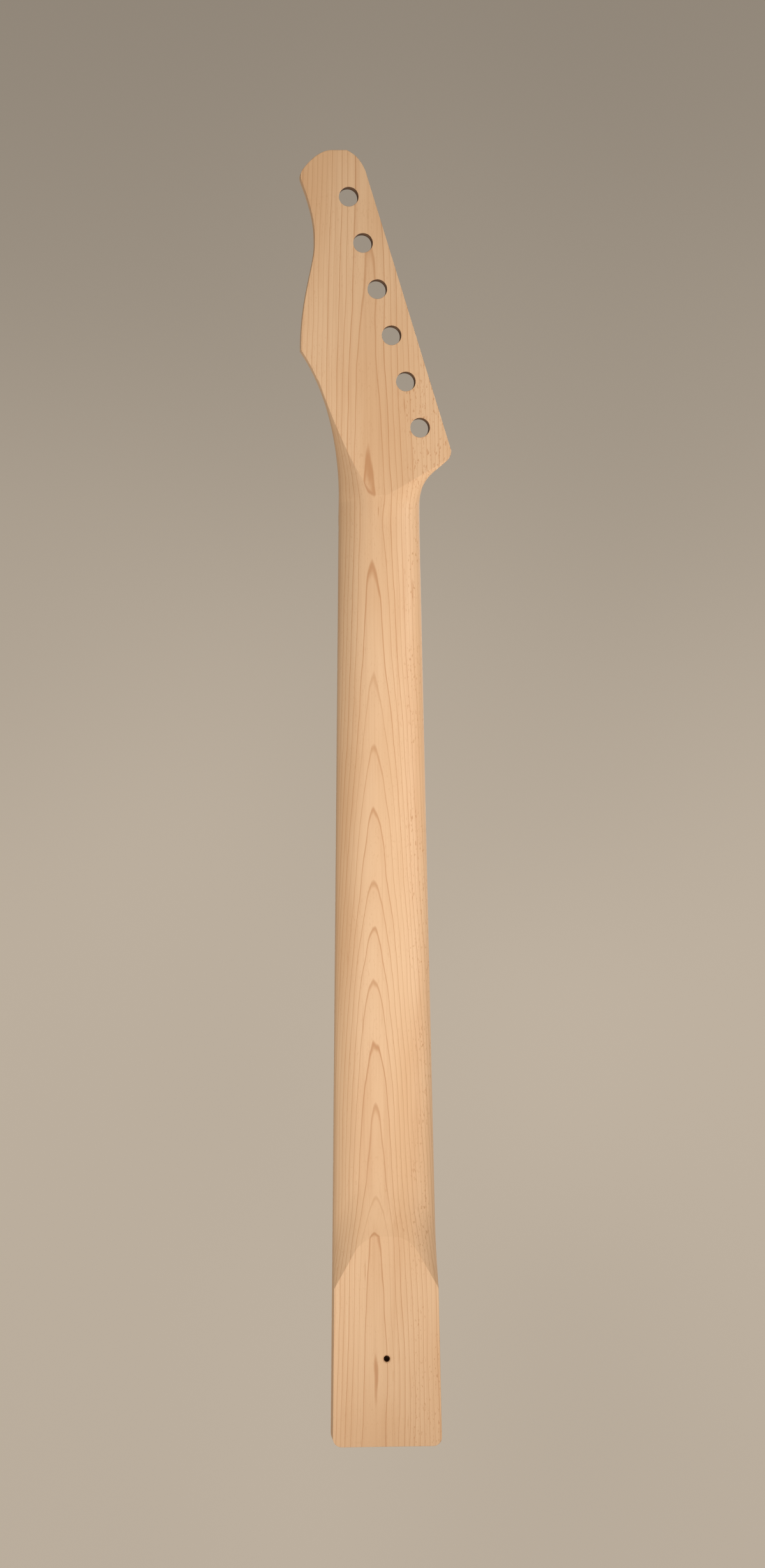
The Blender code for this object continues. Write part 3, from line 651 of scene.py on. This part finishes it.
# Growth rings: where their centre lies, and how fast they climb along the shaft and elsewhere
PITH = Vector((-6 * MM, -7 * MM))
SHAFT_TILT = 0.040
TILT_START = 0.115
TILT_END = 0.385
END_TILT = 0.024
RING_SWAY = 9.0 * MM
RING_DRIFT = 4.0 * MM
RING_RIPPLE = 2.6 * MM
# Shares of one ring, from early wood to the next ring
LATE_WOOD = (0.30, 0.92)
RING_LINE = (0.82, 0.92)
RING_END = (0.93, 1.0)
FLECKED_SIDE = (11.0 * MM, 15.0 * MM)
FLECKS_ELSEWHERE = 0.35
EDGE_SOFTNESS = 0.45 * MM
EDGE_SAMPLES = 6
BARE_ROUGHNESS = 0.52
SATIN_ROUGHNESS = 0.36
SATIN_TINT = (0.98, 0.9408, 0.882)


def maple(name, sizes, colours, roughness=BARE_ROUGHNESS, tint=None, soft_edges=True):
    """Flat-sawn maple: rings round a pith behind the neck, fibres, ray flecks and mineral streaks."""
    finish = Finish(name, {"Specular IOR Level": 0.35})
    place = finish.place()
    x, y, z = finish.node("ShaderNodeSeparateXYZ", None, {0: place}, ("X", "Y", "Z"))

    drift = finish.noise(place, (16, 16, 4.5)) - 0.5
    ripple = finish.noise(place, (75, 75, 13), detail=3.0) - 0.5
    across = x - PITH.x + drift * RING_SWAY
    deep = y - PITH.y
    radius = (across * across + deep * deep) ** 0.5
    climb = z.between(TILT_START, TILT_END) * ((TILT_END - TILT_START) * SHAFT_TILT) + z * END_TILT
    rings = (radius + climb + drift * RING_DRIFT + ripple * RING_RIPPLE) / sizes.ring_spacing
    phase = rings.sum("FRACT", rings)
    number = rings.sum("FLOOR", rings)
    strength = finish.node("ShaderNodeTexWhiteNoise", {"noise_dimensions": "1D"}, {"W": number})
    ending = phase.between(*RING_END, 1.0, 0.0)
    late = phase.between(*LATE_WOOD) * ending
    line = phase.between(*RING_LINE) * ending

    broad = finish.noise(place, (30, 30, 7), detail=3.0)
    fibre = finish.noise(place, (1500, 1500, 24), detail=3.0, roughness=0.6)
    streak = finish.noise(place, (420, 420, 6))
    fleck = finish.noise(place, (1500, 700, 420), detail=1.0)
    mineral = finish.noise(place, (520, 520, 26))
    cloud = finish.noise(place, (60, 60, 30))

    where = FLECKS_ELSEWHERE + x.between(*FLECKED_SIDE)
    flecks = fleck.between(0.60, 0.72) * where * cloud.between(0.36, 0.56)
    minerals = mineral.between(0.71, 0.77) * cloud.between(0.40, 0.60)
    colour = finish.blend(broad.between(0.34, 0.66), colours.maple_pale, colours.maple_warm)
    # How much of the line colour each feature takes on
    darkened = (
        late * (0.03 + strength * 0.10),
        line * (0.27 + strength * 0.43),
        streak.between(0.52, 0.72) * 0.12,
        fibre.between(0.45, 0.75) * 0.12,
        flecks * 0.42,
        minerals * 0.60,
    )
    for share in darkened:
        colour = finish.blend(share, colour, colours.maple_line)
    if tint:
        colour = finish.blend(1.0, colour, tint, "MULTIPLY")
    finish.set("Base Color", colour)
    finish.set("Roughness", roughness + fibre * 0.12 - line * 0.06)
    normal = None
    if soft_edges:
        normal = finish.node("ShaderNodeBevel", {"samples": EDGE_SAMPLES}, {"Radius": EDGE_SOFTNESS})
    relief = fibre * 0.7 + line * 0.5 + flecks * 0.4
    finish.bump(relief, strength=0.16, distance=0.12 * MM, normal=normal)
    return finish.material


def drilled_wall(colours):
    """Wall of a drilled hole: darker end grain with painted shade, and the drill's rings."""
    finish = Finish("drilled_maple_painted_shade", {"Specular IOR Level": 0.25})
    place = finish.place()
    scorch = finish.noise(place, (300, 900, 300), detail=3.0)
    rings = finish.noise(place, (40, 2600, 40), detail=1.0)
    # Painted shade: the wall colour is darker end grain with painted shade inside the hole
    colour = finish.blend(scorch.between(0.35, 0.7), colours.shaded_holes, shade(colours.shaded_holes, 0.5))
    finish.set("Base Color", colour)
    finish.set("Roughness", 0.6 + scorch * 0.25)
    finish.bump(rings, strength=0.35, distance=0.1 * MM)
    return finish.material


def metal(name, colour, roughness, scratches):
    """Worked metal: fine marks along one way and a faint uneven tarnish."""
    finish = Finish(name, {"Metallic": 1.0})
    place = finish.place()
    marks = finish.noise(place, scratches, detail=3.0, roughness=0.6)
    tarnish = finish.noise(place, (160, 160, 160), detail=3.0)
    finish.set("Base Color", finish.blend(tarnish.between(0.42, 0.75) * 0.55, colour, shade(colour, 0.72)))
    finish.set("Roughness", roughness + marks * 0.16 + tarnish * 0.06)
    finish.bump(marks, strength=0.12, distance=0.03 * MM)
    return finish.material


def moulded(name, colour, roughness, mottle):
    """Polished bone or plastic: a mottled tint and light polishing marks."""
    finish = Finish(name, {"Specular IOR Level": 0.5})
    place = finish.place()
    cloud = finish.noise(place, (350, 350, 350), detail=4.0)
    marks = finish.noise(place, (3000, 600, 900))
    finish.set("Base Color", finish.blend(cloud.between(0.35, 0.7), colour, shade(colour, mottle)))
    finish.set("Roughness", roughness + marks * 0.14)
    finish.bump(marks, strength=0.1, distance=0.02 * MM)
    return finish.material


# Operators


# Faces this near a hole's middle, in radii, are its own, and are its wall if they lean less than this
HOLE_REACH = 1.01
WALL_LEAN = 0.3


class NECK_OT_maple_neck(bpy.types.Operator):
    """Model the one-piece maple neck with its headstock, rounded shaft and heel"""

    bl_idname = "neck.maple_neck"
    bl_label = "Maple neck"

    def execute(self, context):
        sizes, colours = context.scene.neck_sizes, context.scene.neck_colours
        form = NeckForm(sizes)
        neck = loft("maple_neck", [form.section(z) for z in section_heights(NECK_STRETCHES)])
        margin = NECK_CUT_MARGIN
        from_outside = INTO_BACK @ Matrix.Translation((0, 0, -margin))
        holes = bmesh.new()
        for centre in tuner_centres():
            start = Matrix.Translation(centre) @ from_outside
            add_rod(holes, start, sizes.tuner_hole / 2, sizes.tuner_hole / 2, HEAD_THICKNESS + 2 * margin)
        index = bmesh.new()
        radius = sizes.index_hole / 2
        mouth = radius + INDEX_HOLE_CHAMFER
        start = Matrix.Translation((0, 0, HEEL_END + INDEX_HOLE_HEIGHT)) @ from_outside
        add_rod(index, start, radius, radius, INDEX_HOLE_DEPTH + margin)
        chamfer = bmesh.new()
        add_rod(chamfer, start, mouth + margin, radius, margin + INDEX_HOLE_CHAMFER)
        channel = bmesh.new()
        top = BOARD_PLANE + margin
        low_end = HEEL_END + CHANNEL_FROM_END
        add_slot(channel, CHANNEL_WIDTH, low_end, ADJUSTER_LOW_Z, CHANNEL_FLOOR, top)
        access = bmesh.new()
        low_end = ADJUSTER_LOW_Z - ACCESS_WIDTH / 2
        add_slot(access, ACCESS_WIDTH, low_end, ACCESS_HIGH_Z, CHANNEL_FLOOR, top)
        cutters = (holes, index, chamfer, channel, access)
        names = ("tuner_holes", "index_hole", "index_chamfer", "rod_channel", "rod_access")
        carved(neck, [piece(name, built) for name, built in zip(names, cutters)])
        crease_flats(neck.data)
        show(neck, maple("bare_maple", sizes, colours), "neck")
        # The holes' walls and the index hole's floor get a second finish of painted shade
        neck.data.materials.append(drilled_wall(colours))
        self.paint_hole_shade(neck.data, sizes)
        return {"FINISHED"}

    def paint_hole_shade(self, mesh, sizes):
        """Gives the drilled holes' walls, and the index hole's floor, their own finish: darker end grain
        with painted shade.
        """
        index_centre = Vector((0, 0, HEEL_END + INDEX_HOLE_HEIGHT))
        shaded_holes = [(centre, sizes.tuner_hole / 2, False) for centre in tuner_centres()]
        shaded_holes.append((index_centre, sizes.index_hole / 2, True))
        for face in mesh.polygons:
            wall = abs(face.normal.y) < WALL_LEAN
            face.material_index = 0
            for centre, radius, blind in shaded_holes:
                away = math.hypot(face.center.x - centre.x, face.center.z - centre.z)
                floor = blind and face.center.y > centre.y + MM
                if away < radius * HOLE_REACH and (wall or floor):
                    face.material_index = 1


class NECK_OT_fingerboard(bpy.types.Operator):
    """Model the crowned fingerboard with its fret slots, nut slot and dot pockets"""

    bl_idname = "neck.fingerboard"
    bl_label = "Fingerboard"

    def execute(self, context):
        sizes, colours = context.scene.neck_sizes, context.scene.neck_colours
        form = NeckForm(sizes)
        sections = [form.board_section(z) for z in section_heights(BOARD_STRETCHES)]
        board = loft("maple_fingerboard", sections)
        margin = BOARD_CUT_MARGIN
        half = FRET_SLOT_WIDTH / 2
        slot = ((-half, margin), (half, margin), (half, -FRET_SLOT_DEPTH), (-half, -FRET_SLOT_DEPTH))
        slots = bmesh.new()
        for name in FRETS:
            low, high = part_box(name)
            z = (low[2] + high[2]) / 2
            form.crowned_bar(slots, z, slot, form.half_width(z) + margin, 0.0, FRET_SLOT_STEPS)
        nut_slot = bmesh.new()
        floor, above = HEEL_THICKNESS - NUT_SLOT_DEPTH, HEEL_THICKNESS + margin
        far = NUT_Z + NUT_THICKNESS + 2 * GLUE_LINE
        ends = [Vector((NUT_HALF * 2 * MM * side, 0, 0)) for side in (TREBLE, BASS)]
        corners = ((floor, NUT_Z), (above, NUT_Z), (above, far), (floor, far))
        add_loft(nut_slot, [[end + Vector((0, y, z)) for y, z in corners] for end in ends])
        notch = bmesh.new()
        low_end = LEDGE_Z + LEDGE * NOTCH_ON_LEDGE
        add_slot(notch, ACCESS_WIDTH, low_end, ACCESS_HIGH_Z, BOARD_PLANE - margin, above)
        pockets = bmesh.new()
        for name in FACE_DOTS + SIDE_DOTS:
            low, high = (Vector(corner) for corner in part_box(name))
            middle = (low + high) / 2
            radius = (high.z - low.z) / 2 + GLUE_LINE
            if name in FACE_DOTS:
                lean = Matrix.Rotation(-math.asin(middle.x / sizes.board_radius), 4, "Z")
                deep = Matrix.Translation((0, 0, -(high.y - low.y) / 2 - GLUE_LINE))
                start = Matrix.Translation(middle) @ lean @ INTO_BACK @ deep
                add_rod(pockets, start, radius, radius, DOT_POCKET_REACH)
            else:
                start = Matrix.Translation((low.x - GLUE_LINE, middle.y, middle.z)) @ OUT_OF_BASS_EDGE
                add_rod(pockets, start, radius, radius, high.x - low.x + margin, SIDE_DOT_STEPS)
        cutters = [
            piece("fret_slots", slots), piece("nut_slot", nut_slot), piece("board_notch", notch),
            piece("dot_pockets", pockets),
        ]
        carved(board, cutters)
        finish = maple("satin_maple", sizes, colours, SATIN_ROUGHNESS, SATIN_TINT, soft_edges=False)
        show(board, finish, "fingerboard")
        return {"FINISHED"}


class NECK_OT_frets(bpy.types.Operator):
    """Model every fret with a rounded crown, bevelled ends and its tang"""

    bl_idname = "neck.frets"
    bl_label = "Frets"

    def execute(self, context):
        sizes, colours = context.scene.neck_sizes, context.scene.neck_colours
        form = NeckForm(sizes)
        nickel = metal(
            "polished_nickel_silver", colours.nickel, roughness=0.12, scratches=(60, 2500, 2500))
        profile = []
        for step in range(CROWN_STEPS + 1):
            angle = math.pi * step / CROWN_STEPS
            along = sizes.fret_width / 2 * math.cos(angle)
            profile.append((along, GLUE_LINE + sizes.fret_height * math.sin(angle)))
        half = FRET_SLOT_WIDTH / 2 - GLUE_LINE
        profile += [
            (-half, GLUE_LINE), (-half, -FRET_TANG_DEPTH), (half, -FRET_TANG_DEPTH), (half, GLUE_LINE)
        ]
        for name in FRETS:
            low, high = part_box(name)
            z = (low[2] + high[2]) / 2
            reach = form.half_width(z) - FRET_END_INSET
            built = bmesh.new()
            form.crowned_bar(built, z, profile, reach, math.tan(FRET_END_SLOPE), FRET_STEPS)
            show(piece(f"{name}_crown", built), nickel, name)
        return {"FINISHED"}


class NECK_OT_nut_and_dots(bpy.types.Operator):
    """Finish the bone nut and the inlaid position dots"""

    bl_idname = "neck.nut_and_dots"
    bl_label = "Nut and dots"

    def execute(self, context):
        colours = context.scene.neck_colours
        bone = moulded("polished_bone", colours.bone, roughness=0.24, mottle=0.86)
        ink = moulded("black_inlay", colours.dot, roughness=0.3, mottle=1.8)
        refinish("nut", bone)
        for name in FACE_DOTS + SIDE_DOTS:
            refinish(name, ink)
        return {"FINISHED"}


class NECK_OT_truss_rod(bpy.types.Operator):
    """Finish the truss rod's steel and brass"""

    bl_idname = "neck.truss_rod"
    bl_label = "Truss rod"

    def execute(self, context):
        colours = context.scene.neck_colours
        steel = metal("plain_steel", colours.steel, roughness=0.28, scratches=(2200, 2200, 70))
        brass = metal("milled_brass", colours.brass, roughness=0.26, scratches=(70, 2400, 2400))
        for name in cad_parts:
            if name.startswith("truss_rod"):
                refinish(name, brass if name.endswith("block") else steel)
        return {"FINISHED"}


FLOOR_LEVEL = -0.30
FLOOR_RADIUS = 1.0
FLOOR_FADE = (0.45, 0.98)
FLOOR_PALER = 1.6
FLOOR_MOTTLE = 0.96
CAMERA_DISTANCE = 2.917
CAMERA_YAW = math.radians(-3.1)
CAMERA_ROLL = math.radians(0.4)
CAMERA_HEIGHT = 0.340
CAMERA_AIM = Vector((-0.0002, 0, 0.3137))
LENS_MM = 131.2
SENSOR_MM = 36.0
SHAFT_AIM = Vector((0, 0, 0.39))
HEEL_AIM = Vector((0, 0, 0.10))
LAMP_COLOUR = (1.0, 0.975, 0.94)
# Each lamp's name, place, aim, size in metres, watts and spread
LAMPS = (
    ("key_lamp", Vector((1.10, -0.70, 0.40)), SHAFT_AIM, 0.45, 0.76, math.radians(44)),
    ("low_lamp", Vector((-0.42, -1.15, -0.42)), HEEL_AIM, 0.5, 2.42, math.radians(70)),
    ("back_lamp", Vector((0.9, 1.9, 1.1)), SHAFT_AIM, 1.6, 18.0, math.radians(180)),
)
AMBIENT = 0.30
AMBIENT_COLOUR = (1.0, 0.88, 0.69)
# Painted shade on the backdrop: it darkens towards its top over this range of directions, with soft painted
# folds of shade
BACKDROP_SHADE_FALL = (-0.05, 0.15)
BACKDROP_SHADED_TOP = 0.55
FOLD_SCALE = 9.0
FOLD_SHADE_LOW = 0.88
FOLD_SHADE_HIGH = 1.12


class NECK_OT_stage(bpy.types.Operator):
    """Set the floor, the backdrop, the lamps and the camera"""

    bl_idname = "neck.stage"
    bl_label = "Stage"

    def execute(self, context):
        scene = context.scene
        colours = scene.neck_colours
        self.floor(colours)
        self.backdrop(scene, colours)
        for lamp in LAMPS:
            self.lamp(scene, *lamp)
        self.camera(scene)
        scene.view_settings.view_transform = "Standard"
        return {"FINISHED"}

    def floor(self, colours):
        built = bmesh.new()
        bmesh.ops.create_circle(built, cap_ends=True, segments=FLOOR_STEPS, radius=FLOOR_RADIUS)
        made = piece("floor", built)
        made.location = (0, 0, FLOOR_LEVEL)
        finish = Finish("pale_floor", {"Specular IOR Level": 0.1})
        place = finish.place()
        mottle = finish.noise(place, (9, 9, 9), detail=3.0)
        paler = shade(colours.backdrop, FLOOR_PALER)
        finish.set("Base Color", finish.blend(mottle, paler, shade(paler, FLOOR_MOTTLE)))
        finish.set("Roughness", 0.8 + mottle * 0.1)
        out = finish.node("ShaderNodeVectorMath", {"operation": "LENGTH"}, {0: place}, ("Value",))
        fade_start, fade_end = (FLOOR_RADIUS * share for share in FLOOR_FADE)
        finish.set("Alpha", out.between(fade_start, fade_end, 1.0, 0.0))
        made.data.materials.append(finish.material)

    def backdrop(self, scene, colours):
        """Backdrop colour with painted shade for what the camera, gloss and glass see, and softer light for
        the rest.
        """
        world = bpy.data.worlds.new("backdrop")
        world.use_nodes = True
        scene.world = world
        nodes = Nodes(world.node_tree)
        nodes.tree.nodes.clear()
        direction = nodes.place("Generated")
        height = nodes.node("ShaderNodeSeparateXYZ", None, {0: direction}, ("Z",))
        # Painted shade: soft folds of shade and a darker top in the backdrop's brightness
        fold_shade = nodes.noise(direction, (FOLD_SCALE,) * 3, detail=1.0)
        fold_shade = FOLD_SHADE_LOW + fold_shade * (FOLD_SHADE_HIGH - FOLD_SHADE_LOW)
        top_shade = height.between(*BACKDROP_SHADE_FALL, 1.0, BACKDROP_SHADED_TOP)
        seen = nodes.node(
            "ShaderNodeBackground", None, {"Color": colours.backdrop, "Strength": top_shade * fold_shade})
        light = nodes.node("ShaderNodeBackground", None, {"Color": AMBIENT_COLOUR, "Strength": AMBIENT})
        camera, gloss, glass = nodes.node(
            "ShaderNodeLightPath", outputs=("Is Camera Ray", "Is Glossy Ray", "Is Transmission Ray"))
        plain = camera.sum("MAXIMUM", camera, gloss)
        plain = plain.sum("MAXIMUM", plain, glass)
        mixed = nodes.node("ShaderNodeMixShader", None, {0: plain, 1: light, 2: seen})
        nodes.node("ShaderNodeOutputWorld", None, {"Surface": mixed}, ())

    def lamp(self, scene, name, place, aim, size, power, light_spread):
        light = bpy.data.lights.new(name, "AREA")
        light.size = size
        light.spread = light_spread
        light.energy = power
        light.color = LAMP_COLOUR
        made = bpy.data.objects.new(name, light)
        scene.collection.objects.link(made)
        made.location = place
        made.rotation_euler = (aim - place).to_track_quat("-Z", "Y").to_euler()

    def camera(self, scene):
        made = bpy.data.objects.new("camera", bpy.data.cameras.new("camera"))
        scene.collection.objects.link(made)
        made.data.sensor_width = SENSOR_MM
        made.data.lens = LENS_MM
        away = Vector((math.sin(CAMERA_YAW), -math.cos(CAMERA_YAW), 0)) * CAMERA_DISTANCE
        place = Vector((CAMERA_AIM.x, CAMERA_AIM.y, 0)) + away
        place.z = CAMERA_HEIGHT
        turn = (CAMERA_AIM - place).to_track_quat("-Z", "Y").to_matrix().to_4x4()
        made.matrix_world = Matrix.Translation(place) @ turn @ Matrix.Rotation(-CAMERA_ROLL, 4, "Z")
        scene.camera = made


OPERATORS = (
    NECK_OT_maple_neck,
    NECK_OT_fingerboard,
    NECK_OT_frets,
    NECK_OT_nut_and_dots,
    NECK_OT_truss_rod,
    NECK_OT_stage,
)


class NECK_PT_panel(bpy.types.Panel):
    """Lists the neck's pieces, sizes and colours"""

    bl_idname = "NECK_PT_panel"
    bl_label = "Guitar neck"
    bl_space_type = "VIEW_3D"
    bl_region_type = "UI"
    bl_category = "Guitar neck"

    def draw(self, context):
        for operator in OPERATORS:
            self.layout.operator(operator.bl_idname)
        for group in (context.scene.neck_sizes, context.scene.neck_colours):
            for name in group.__annotations__:
                self.layout.prop(group, name)


CLASSES = (NeckSizes, NeckColours, *OPERATORS, NECK_PT_panel)


def register():
    for made in CLASSES:
        bpy.utils.register_class(made)
    bpy.types.Scene.neck_sizes = PointerProperty(type=NeckSizes)
    bpy.types.Scene.neck_colours = PointerProperty(type=NeckColours)


def unregister():
    del bpy.types.Scene.neck_colours
    del bpy.types.Scene.neck_sizes
    for made in reversed(CLASSES):
        bpy.utils.unregister_class(made)


def main():
    register()
    bpy.ops.neck.maple_neck()
    bpy.ops.neck.fingerboard()
    bpy.ops.neck.frets()
    bpy.ops.neck.nut_and_dots()
    bpy.ops.neck.truss_rod()
    bpy.ops.neck.stage()


if __name__ == "__main__":
    main()
